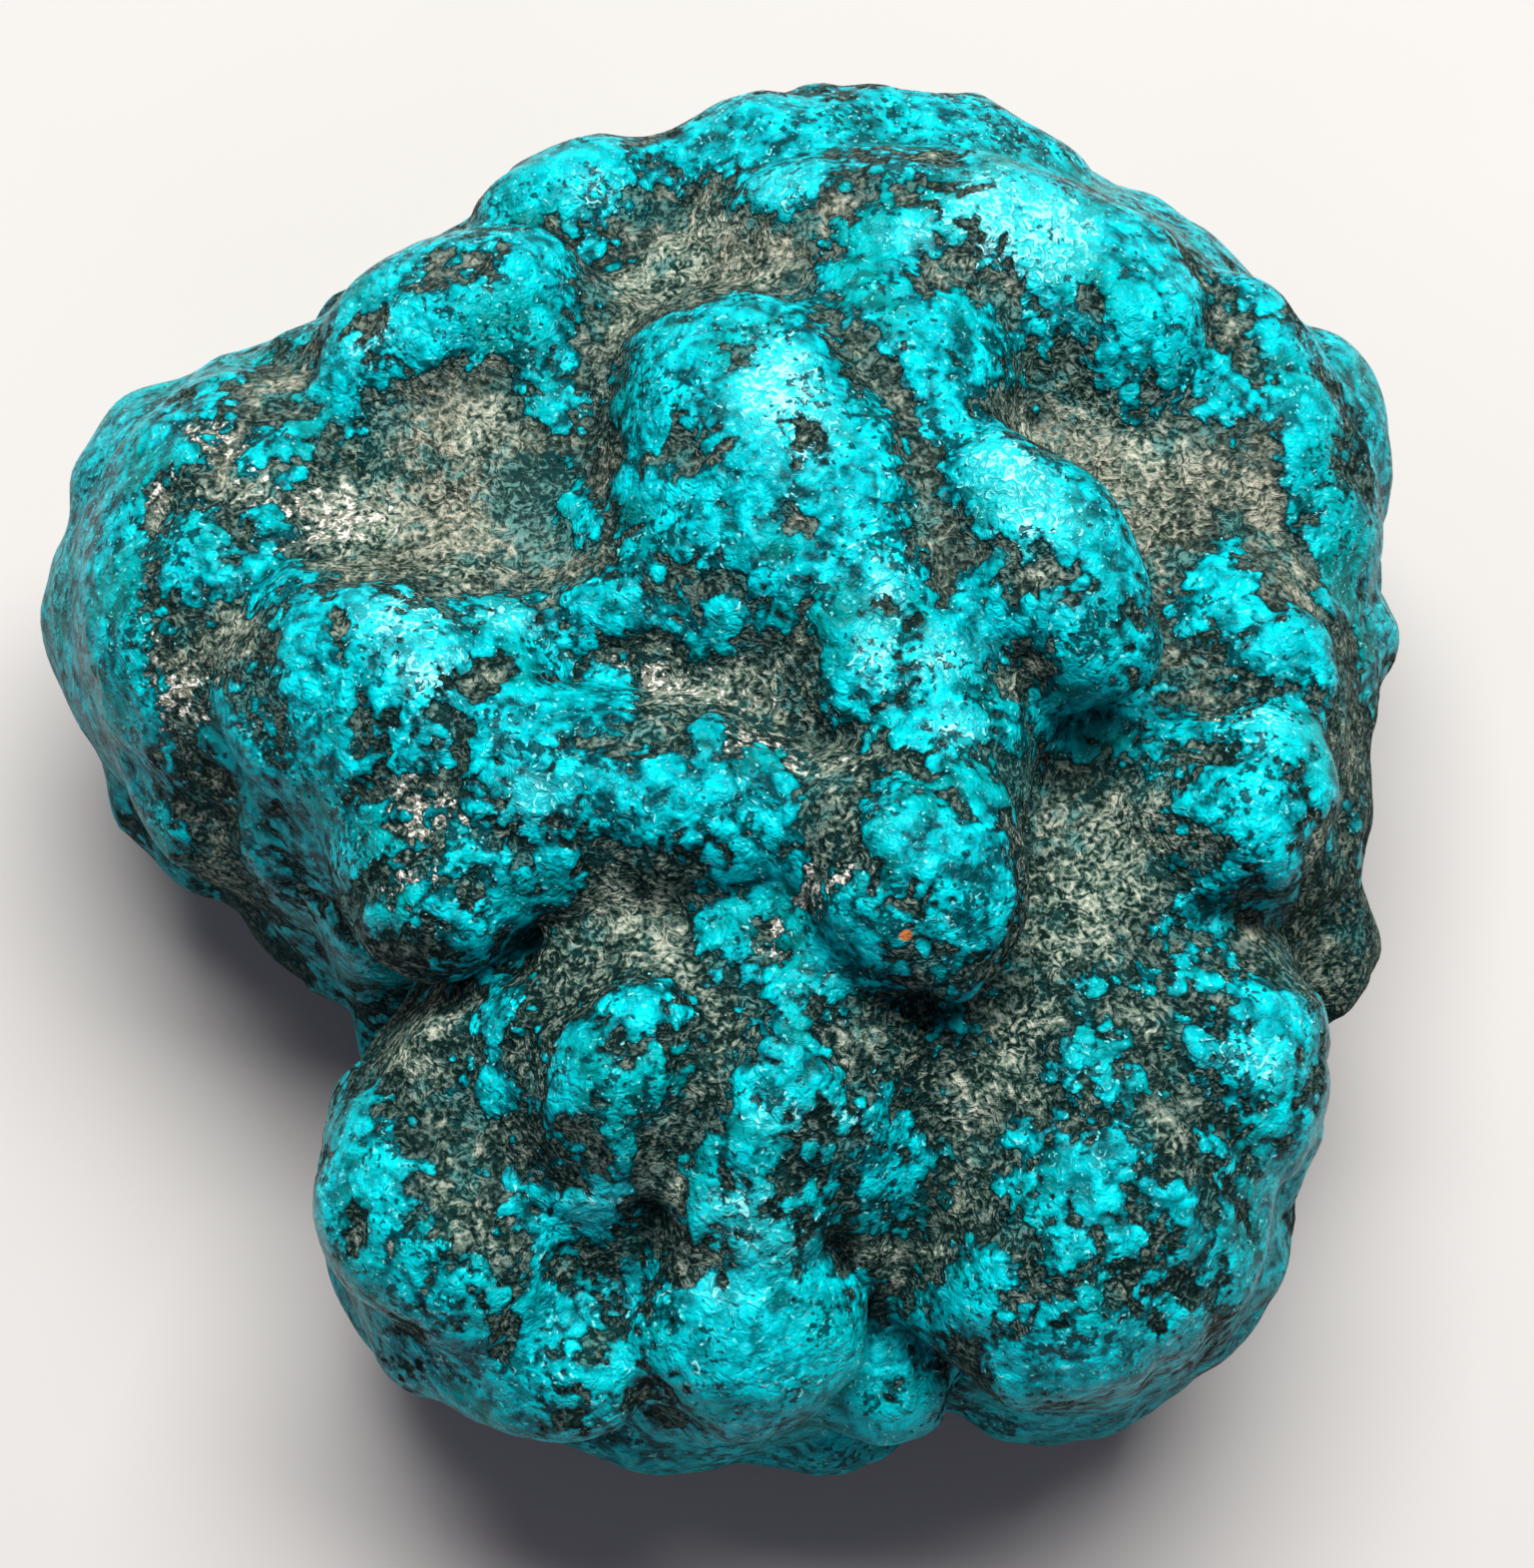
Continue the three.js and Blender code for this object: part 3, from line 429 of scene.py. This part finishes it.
def relaxed(points, quads, passes):
    """Every point moved halfway to the mean of its neighbours, once for each pass."""
    start, end = (np.concatenate([quads[:, (k + side) % 4] for k in range(4)]) for side in (0, 1))
    count = np.bincount(start, minlength=len(points))
    for _ in range(passes):
        mean = np.stack([np.bincount(start, points[end, axis], len(points)) / count
                         for axis in range(3)], -1)
        points = (points + mean) / 2
    return points


def vertex_normals(points, quads):
    """Normal at each point: the mean of the cross products of its quads' diagonals."""
    one_way = points[quads[:, 2]] - points[quads[:, 0]]
    other_way = points[quads[:, 3]] - points[quads[:, 1]]
    across = np.cross(one_way, other_way)
    corner = quads.reshape(-1)
    return unit(np.stack([np.bincount(corner, np.repeat(across[:, axis], 4), len(points))
                          for axis in range(3)], -1))


def lattice_noise(points, size, seed):
    """Smooth noise from -1 to 1: random values on a cubic lattice of the given size, blended.

    Each seed gives a pattern of its own.
    """
    table = np.random.default_rng(seed).uniform(-1, 1, (32, 32, 32))
    place = points / size + 100.5
    cell = np.floor(place).astype(int)
    part = place - cell
    part = part * part * (3 - 2 * part)
    total = np.zeros(len(points))
    for corner in np.ndindex(2, 2, 2):
        share = np.prod(np.where(corner, part, 1 - part), axis=1)
        total += share * table[tuple(((cell + corner) % 32).T)]
    return total


def reach_inside(plan, rows):
    """Millimetres that each point lies inside the nearest ellipse, and how far the domes stand up.

    Inside one ellipse the reach is (1 - r) times half its width, with r the scaled distance from
    its middle. The largest wins, rounded where two are nearly equal. A dome of height h stands
    h * (1.15 - r^2) ^ 0.6, and domes that overlap join as the fourth root of their fourth powers.
    """
    deepest = np.full(len(plan), -9.0)
    stands = np.zeros(len(plan))
    for x, y, length, width, turn, *rise in rows:
        angle = np.radians(turn)
        way = np.array([[np.cos(angle), np.sin(angle)], [-np.sin(angle), np.cos(angle)]])
        scaled = (plan - [x, y]) @ way.T / [length / 2, width / 2]
        inside = (1 - np.linalg.norm(scaled, axis=1)) * width / 2
        blend = np.maximum(1.0 - np.abs(deepest - inside), 0)
        deepest = np.maximum(deepest, inside) + blend ** 2 / 4
        if rise:
            dome = rise[0] * np.clip(1.15 - (scaled ** 2).sum(axis=1), 0, 1.15) ** 0.6
            stands = (stands ** 4 + dome ** 4) ** 0.25
    return deepest, stands


def eased(value, low, high):
    """0 under low and 1 over high, with a smooth cubic step between."""
    part = np.clip((value - low) / (high - low), 0, 1)
    return part * part * (3 - 2 * part)


ray, quads = cube_sphere(GRID_SQUARES)
body = relaxed(body_points(ray), quads, 2)

# Reach is the depth in millimetres that a point lies inside turquoise, and less than nothing in
# matrix. On the crown it comes from the patches and windows. On the flank, from 0 on the crown to
# 1 on the sides, it is noise, with a band of matrix on the right.
plan = body[:, :2] + WANDER * np.column_stack(
    [lattice_noise(body, 3.0, 11), lattice_noise(body, 3.0, 12)])
on_crown, stands = reach_inside(plan, CROWN_PATCHES)
windows, _ = reach_inside(plan, CROWN_WINDOWS)
flank = eased(-ray[:, 2], -0.50, -0.20)
on_flank = 1.2 + 3.2 * lattice_noise(body, 8.0, 13) + 1.1 * lattice_noise(body, 2.6, 14)
on_flank += 0.7 * eased(-plan[:, 0], 24, 36) + 1.0 * eased(-plan[:, 1], 30, 40)
matrix_band = eased(plan[:, 0], 28, 38) * eased(plan[:, 1], -26, -18) * eased(-plan[:, 1], -5, 3)
on_flank -= 2.2 * matrix_band
widened = on_crown + 0.4 + 0.4 * eased(plan[:, 1], -17, -5)
reach = np.minimum(np.maximum(widened, on_flank * flank - 3 * (1 - flank)), -windows)
reach = np.clip(reach, -2.4, 2.2)
calcite, _ = reach_inside(plan, CALCITE_SPOTS)
stain, _ = reach_inside(plan, GREEN_STAINS)
polish_and_highlight, _ = reach_inside(plan, POLISHED_TOPS_WITH_HIGHLIGHTS)

# Dusty grows from the front to the back, and side, which sets the painted shade on the sides, from
# the shoulders down to under the waist.
dusty = eased(plan[:, 1], -16, 12)
side = eased(-ray[:, 2], -0.28, 0.20)

# Relief on the body in millimetres: domes and ledges of turquoise, then lumps of 6 to 1.4 mm.
# How far a point stands out of its surroundings, and less than nothing in a hollow, is kept to
# paint highlights on crests and shade in hollows.
relief = 0.28 * stands + 0.4 * eased(reach, -0.5, 0.9) + 0.5 * flank * eased(on_flank, -0.5, 2.5)
relief += 0.45 * lattice_noise(body, 6.0, 15) + 0.25 * lattice_noise(body, 2.8, 16)
relief += 0.40 * flank * lattice_noise(body, 3.6, 18)
relief += 0.13 * lattice_noise(body, 1.4, 17) * (1.3 - eased(reach, -0.3, 0.5))
points = body + vertex_normals(body, quads) * relief[:, None]
prominence = ((points - relaxed(points, quads, 30)) * vertex_normals(points, quads)).sum(axis=1)
points -= (body.min(axis=0) + body.max(axis=0)) / 2 * [1, 1, 0]
points[:, 2] = np.maximum(points[:, 2], 0)


def surface_object(name, points, quads, material):
    """A smooth-shaded mesh object at the origin, from points in metres and its quads."""
    mesh = bpy.data.meshes.new(name)
    mesh.from_pydata(points.tolist(), [], quads.tolist())
    mesh.polygons.foreach_set("use_smooth", np.ones(len(quads), bool))
    mesh.materials.append(material)
    made = bpy.data.objects.new(name, mesh)
    bpy.context.collection.objects.link(made)
    return made


def add_node(tree, kind, inputs, **settings):
    """A new shader node: each input is given a number or wired to a socket."""
    made = tree.nodes.new("ShaderNode" + kind)
    for name, value in settings.items():
        setattr(made, name, value)
    for place, value in inputs.items():
        if isinstance(value, bpy.types.NodeSocket):
            tree.links.new(value, made.inputs[place])
        else:
            made.inputs[place].default_value = value
    return made


# Tones of the stone, each with its place along a noise: turquoise from dark to bright, matrix
# from green-black grains to pale ones, and the browner matrix towards the back.
TURQUOISE_TONES = [(0.34, (0.0, 0.045, 0.055)), (0.43, (0.0, 0.19, 0.220)),
                   (0.53, (0.0, 0.36, 0.410)), (0.66, (0.0, 0.54, 0.600))]
MATRIX_TONES = [(0.29, (0.003, 0.012, 0.010)), (0.39, (0.025, 0.062, 0.052)),
                (0.48, (0.115, 0.172, 0.136)), (0.58, (0.245, 0.288, 0.228)),
                (0.74, (0.460, 0.475, 0.385))]
DUSTY_TONES = [(0.29, (0.022, 0.034, 0.026)), (0.44, (0.100, 0.120, 0.090)),
               (0.57, (0.220, 0.220, 0.168)), (0.72, (0.370, 0.355, 0.280))]

# Colours that are laid over the turquoise: a greener tone, painted highlights on polished tops
# and on crests, a dark edge, dark specks, a painted glint and a painted sparkle.
GREENER_TURQUOISE = (0.0, 0.20, 0.175, 1)
PAINTED_HIGHLIGHT_TURQUOISE = (0.02, 0.70, 0.77, 1)
PAINTED_CREST_HIGHLIGHT = (0.0, 0.60, 0.67, 1)
EDGE_TURQUOISE = (0.0, 0.040, 0.050, 1)
DARK_SPECK = (0.0, 0.035, 0.042, 1)
PALE_GLINT = (0.28, 0.82, 0.82, 1)
PAINTED_SPARKLE = (0.15, 0.75, 0.78, 1)

# Colours that are laid over the matrix: dark and pale grains of the stained rim beside
# turquoise, of green stains and of chalky calcite.
RIM_GRAINS = (0.0, 0.010, 0.010, 1), (0.008, 0.075, 0.073, 1)
GREEN_GRAINS = (0.003, 0.032, 0.033, 1), (0.045, 0.200, 0.190, 1)
CALCITE_GRAINS = (0.17, 0.18, 0.14, 1), (0.66, 0.66, 0.60, 1)

# Colours that are laid over the whole stone: rust, painted shade in the hollows and painted
# shade on the sides.
RUST = (0.50, 0.16, 0.045, 1)
HOLLOW_SHADE = (0.002, 0.012, 0.011, 1)
SIDE_SHADE = (0.0, 0.022, 0.026, 1)


def stone_material():
    """Turquoise and matrix: where the reach, made ragged by noise, is over nothing it is turquoise.

    Turquoise runs from nearly black at a patch's edge to a mottled full colour inside it, with
    greener areas and dark specks, painted highlights on its polished tops and crests, and painted
    glints in pale curls and painted bright sparkles.
    Matrix is a wormy mix of dark and pale grains, browner towards the back. It is stained dark
    beside the turquoise, green in the stains and in scattered blotches, and white at the calcite.
    Hollows and sides get painted shade, and one grain of rust sits on the tongue. Turquoise is
    waxy and smoother than the matrix, and its highlighted tops are the most polished.
    """
    material = bpy.data.materials.new("turquoise_in_matrix")
    material.use_nodes = True
    tree = material.node_tree
    shader = tree.nodes["Principled BSDF"]
    place = add_node(tree, "TexCoord", {}).outputs["Object"]

    def noise(size, detail=2.0, distortion=0.0, shift=0.0):
        """Noise from about 0.2 to 0.8 with lumps of that size in millimetres.

        Each shift gives a pattern of its own.
        """
        moved = add_node(tree, "VectorMath", {0: place, 1: (shift, shift, shift)}, operation="ADD")
        return add_node(tree, "TexNoise", {"Vector": moved.outputs[0], "Scale": 1000 / size,
                                           "Detail": detail, "Distortion": distortion}).outputs[0]

    def stored(name):
        """A value stored on the mesh's points."""
        return add_node(tree, "Attribute", {}, attribute_name=name).outputs["Fac"]

    def sum_of(first, value, share):
        """first + (value - 0.5) * share."""
        spread = add_node(tree, "Math", {0: value, 1: 0.5}, operation="SUBTRACT").outputs[0]
        return add_node(tree, "Math", {0: spread, 1: share, 2: first}, operation="MULTIPLY_ADD").outputs[0]

    def step(value, low, high):
        """0 under low and 1 over high, smooth between."""
        return add_node(tree, "MapRange", {0: value, 1: low, 2: high},
                        interpolation_type="SMOOTHSTEP").outputs[0]

    def times(first, second):
        """The product of two values."""
        return add_node(tree, "Math", {0: first, 1: second}, operation="MULTIPLY").outputs[0]

    def blended(share, first, second):
        """first where share is 0 and second where it is 1, for colours."""
        return add_node(tree, "Mix", {0: share, 6: first, 7: second}, data_type="RGBA").outputs[2]

    def ramp(value, *stops):
        """A colour band through the given places and colours."""
        made = add_node(tree, "ValToRGB", {0: value})
        band = made.color_ramp.elements
        for _ in stops[2:]:
            band.new(0.5)
        for element, (where, colour) in zip(band, stops):
            element.position = where
            element.color = (*colour, 1)
        return made.outputs[0]

    # Nodules: rounded cells of 1.6 mm, bent out of shape by a noise.
    bend = add_node(tree, "TexNoise", {"Vector": place, "Scale": 1000 / 1.1, "Detail": 0.0}).outputs[1]
    bend = add_node(tree, "VectorMath", {0: bend, 1: (NODULE_BEND,) * 3, 2: place},
                    operation="MULTIPLY_ADD").outputs[0]
    nodule = add_node(tree, "TexVoronoi", {"Vector": bend, "Scale": 1000 / 1.6}).outputs[0]
    nodule = step(nodule, 0.75, 0.10)

    # The edge between turquoise and matrix.
    reach = sum_of(stored("reach"), noise(2.0, 3), 2.8)
    reach = sum_of(reach, nodule, 1.3)
    reach = sum_of(reach, noise(0.80, 2, 0, 0.31), 3.2)
    is_turquoise = step(reach, -0.10, 0.10)

    # The turquoise.
    mottle = sum_of(noise(1.3, 3, 0.6, 0.11), nodule, 0.10)
    body_colour = ramp(mottle, *TURQUOISE_TONES)
    greener = step(noise(6.0, 2, 0, 0.37), 0.48, 0.66)
    body_colour = blended(times(greener, 0.5), body_colour, GREENER_TURQUOISE)
    # Painted highlight: the polished tops are painted paler, a bright cyan.
    polished_and_highlighted = step(stored("polish_and_highlight"), -1.6, 1.2)
    body_colour = blended(times(polished_and_highlighted, 0.50), body_colour, PAINTED_HIGHLIGHT_TURQUOISE)
    # Painted highlight: crests that stand out are painted brighter.
    painted_crest_highlight = step(stored("prominence"), 0.0, 1.1)
    body_colour = blended(times(painted_crest_highlight, 0.50), body_colour, PAINTED_CREST_HIGHLIGHT)
    edge_share = step(reach, 0.0, 0.8)
    turquoise = blended(edge_share, EDGE_TURQUOISE, body_colour)
    specks = step(sum_of(noise(0.55, 2, 0, 0.71), noise(3.5, 1, 0, 0.83), 0.8), 0.62, 0.70)
    turquoise = blended(times(specks, 0.9), turquoise, DARK_SPECK)
    curls = noise(0.7, 2, 1.4, 0.93)
    # Painted glints: pale curls, more of them on the polished tops.
    glints = step(sum_of(curls, polished_and_highlighted, 0.17), 0.58, 0.70)
    turquoise = blended(times(glints, 0.85), turquoise, PALE_GLINT)
    # Painted sparkles: small bright dots all over the turquoise.
    painted_sparkles = step(noise(0.40, 1, 0, 0.15), 0.66, 0.74)
    turquoise = blended(times(painted_sparkles, 0.6), turquoise, PAINTED_SPARKLE)

    # The matrix: the sine of a noise gives worm-like grains.
    worms = times(noise(0.9, 3, 0.9, 0.41), 21.0)
    worms = add_node(tree, "Math", {0: worms}, operation="SINE").outputs[0]
    grain = add_node(tree, "Math", {0: worms, 1: 0.12, 2: 0.50}, operation="MULTIPLY_ADD").outputs[0]
    grain = sum_of(grain, noise(0.35, 2, 0, 0.47), 0.75)
    tone = sum_of(grain, noise(1.4, 3, 0, 0.19), 0.45)
    tone = sum_of(tone, noise(7.0, 2, 0, 0.29), 0.30)
    tone = sum_of(tone, stored("dusty"), 0.05)
    matrix = ramp(tone, *MATRIX_TONES)
    dust = ramp(tone, *DUSTY_TONES)
    browner = step(noise(9.0, 2, 0, 0.53), 0.40, 0.58)
    matrix = blended(times(times(browner, stored("dusty")), 0.75), matrix, dust)
    near = step(sum_of(reach, noise(5.0, 2, 0, 0.67), 3.0), -2.3, -0.3)
    rim = blended(step(tone, 0.42, 0.68), *RIM_GRAINS)
    matrix = blended(times(near, 0.80), matrix, rim)
    crumbs = noise(0.8, 2, 0, 0.61)
    green = step(sum_of(stored("stain"), crumbs, 6.0), -0.2, 1.4)
    blotches = step(sum_of(noise(3.4, 2, 0, 0.87), crumbs, 0.5), 0.54, 0.66)
    green = add_node(tree, "Math", {0: green, 1: blotches}, operation="MAXIMUM").outputs[0]
    greened = blended(step(tone, 0.38, 0.66), *GREEN_GRAINS)
    matrix = blended(times(green, 0.8), matrix, greened)
    white = step(sum_of(stored("calcite"), noise(0.70, 3, 0, 0.77), 9.0), 0.1, 0.8)
    chalky = blended(step(grain, 0.40, 0.55), *CALCITE_GRAINS)
    matrix = blended(white, matrix, chalky)

    # Both together, with the rust, painted shade in the hollows and painted shade on the sides.
    colour = blended(is_turquoise, matrix, turquoise)
    from_rust = add_node(tree, "VectorMath", {0: place, 1: RUST_GRAIN}, operation="DISTANCE")
    rusty = sum_of(from_rust.outputs["Value"], noise(0.35, 2, 0, 0.23), RUST_FRAY)
    rusty = step(rusty, RUST_END, RUST_FADE)
    colour = blended(rusty, colour, RUST)
    # Painted shade: the hollows are darkened.
    hollow = step(stored("prominence"), 0.0, -1.2)
    colour = blended(times(hollow, 0.62), colour, HOLLOW_SHADE)
    # Painted shade: the sides are darkened, the matrix more than the turquoise.
    side_shade_share = add_node(tree, "MapRange", {0: is_turquoise, 3: 0.70, 4: 0.34}).outputs[0]
    colour = blended(times(stored("side"), side_shade_share), colour, SIDE_SHADE)
    tree.links.new(colour, shader.inputs["Base Color"])

    # Gloss, and the fine relief of grains, nodules and curls.
    waxy = add_node(tree, "MapRange", {0: stored("side"), 3: 0.24, 4: 0.60}).outputs[0]
    rough = add_node(tree, "MapRange", {0: is_turquoise, 3: 0.85, 4: waxy})
    tree.links.new(rough.outputs[0], shader.inputs["Roughness"])
    polish = times(polished_and_highlighted, is_turquoise)
    polish = add_node(tree, "MapRange", {0: polish, 3: 0.05, 4: 0.30})
    tree.links.new(polish.outputs[0], shader.inputs["Specular IOR Level"])
    grit = add_node(tree, "MapRange", {0: is_turquoise, 3: 1.5, 4: 0.0}).outputs[0]
    height = sum_of(times(is_turquoise, 0.8), grain, grit)
    height = sum_of(height, nodule, times(is_turquoise, 0.55))
    height = sum_of(height, curls, times(is_turquoise, 0.9))
    bump = add_node(tree, "Bump", {"Height": height, "Strength": 0.9, "Distance": FINE_RELIEF})
    tree.links.new(bump.outputs[0], shader.inputs["Normal"])
    return material


nugget = surface_object("raw_turquoise_nugget", points / 1000, quads, stone_material())
stored_values = {"reach": reach, "calcite": calcite, "stain": stain, "polish_and_highlight": polish_and_highlight,
                 "prominence": prominence, "side": side, "dusty": dusty}
for name, values in stored_values.items():
    attribute = nugget.data.attributes.new(name, "FLOAT", "POINT")
    attribute.data.foreach_set("value", values.astype(np.float32))
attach(nugget, "root")
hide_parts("nugget")

# The floor: one wide, flat sheet of warm white paper, with the nugget standing in the middle of
# it. It lies a hair under the nugget's flat, so that the two faces don't share one plane.
# Lengths from here on are metres.

PAPER_SIZE = 2.4
PAPER_DEPTH = 0.00005
PAPER_SQUARES = 8
PAPER_TONES = (0.435, 0.427, 0.414, 1), (0.475, 0.467, 0.454, 1)


def paper_material():
    """Warm white paper, faintly uneven in tone."""
    material = bpy.data.materials.new("warm_white_paper")
    material.use_nodes = True
    tree = material.node_tree
    place = add_node(tree, "TexCoord", {}).outputs["Object"]
    tone = add_node(tree, "TexNoise", {"Vector": place, "Scale": 14.0, "Detail": 3.0}).outputs[0]
    darker, lighter = PAPER_TONES
    colour = add_node(tree, "Mix", {0: tone, 6: darker, 7: lighter}, data_type="RGBA").outputs[2]
    shader = tree.nodes["Principled BSDF"]
    tree.links.new(colour, shader.inputs["Base Color"])
    shader.inputs["Roughness"].default_value = 0.9
    return material


edge = np.linspace(-PAPER_SIZE / 2, PAPER_SIZE / 2, PAPER_SQUARES + 1)
across, along = np.meshgrid(edge, edge, indexing="ij")
corner = np.arange(across.size).reshape(across.shape)
paper_quads = np.stack([corner[:-1, :-1], corner[1:, :-1], corner[1:, 1:], corner[:-1, 1:]], -1)
paper_quads = paper_quads.reshape(-1, 4)
paper_points = np.stack([across, along, np.full_like(across, -PAPER_DEPTH)], -1).reshape(-1, 3)
paper = surface_object("paper_floor", paper_points, paper_quads, paper_material())

# The light: one wide soft box high behind the nugget, a much weaker one low in front of it, and
# a dim room all round, whose faintly violet light fills the shadows.

SUBJECT = Vector((0, 0, 0.02))
ROOM_COLOUR = (0.88, 0.75, 1.02, 1)
ROOM_STRENGTH = 0.100


def soft_box(name, place, width, depth, power, colour):
    """An oblong soft box at a place, turned to face the nugget."""
    light = bpy.data.lights.new(name, "AREA")
    light.shape = "RECTANGLE"
    light.size = width
    light.size_y = depth
    light.energy = power
    light.color = colour
    made = bpy.data.objects.new(name, light)
    made.location = place
    made.rotation_euler = (made.location - SUBJECT).to_track_quat("Z", "Y").to_euler()
    bpy.context.collection.objects.link(made)


soft_box("back_soft_box", (0.045, 0.225, 0.685), 0.60, 0.30, 11.4, (1.0, 0.985, 0.96))
soft_box("front_soft_box", (-0.10, -0.62, 0.34), 0.50, 0.30, 0.55, (0.95, 0.80, 1.0))

room = bpy.data.worlds.new("pale_room")
bpy.context.scene.world = room
room.use_nodes = True
room.node_tree.nodes["Background"].inputs[0].default_value = ROOM_COLOUR
room.node_tree.nodes["Background"].inputs[1].default_value = ROOM_STRENGTH

# The camera: it looks down at the crown from the front, twenty degrees off the vertical, through
# a long lens. Its lens and its sensor are in millimetres.

CAMERA_ELEVATION = math.radians(70)
CAMERA_DISTANCE = 0.248
CAMERA_TARGET = Vector((0.0034, -0.0030, 0.024))
CAMERA_LENS = 85
CAMERA_SENSOR = 36
CAMERA_NEAREST = 0.01

camera_data = bpy.data.cameras.new("camera")
camera_data.lens = CAMERA_LENS
camera_data.sensor_width = CAMERA_SENSOR
camera = bpy.data.objects.new("camera", camera_data)
backwards = Vector((0, -math.cos(CAMERA_ELEVATION), math.sin(CAMERA_ELEVATION)))
camera.location = CAMERA_TARGET + backwards * CAMERA_DISTANCE
camera.rotation_euler = backwards.to_track_quat("Z", "Y").to_euler()
camera_data.clip_start = CAMERA_NEAREST
bpy.context.collection.objects.link(camera)
bpy.context.scene.camera = camera
bpy.context.scene.view_settings.view_transform = "Standard"

bpy.context.view_layer.update()
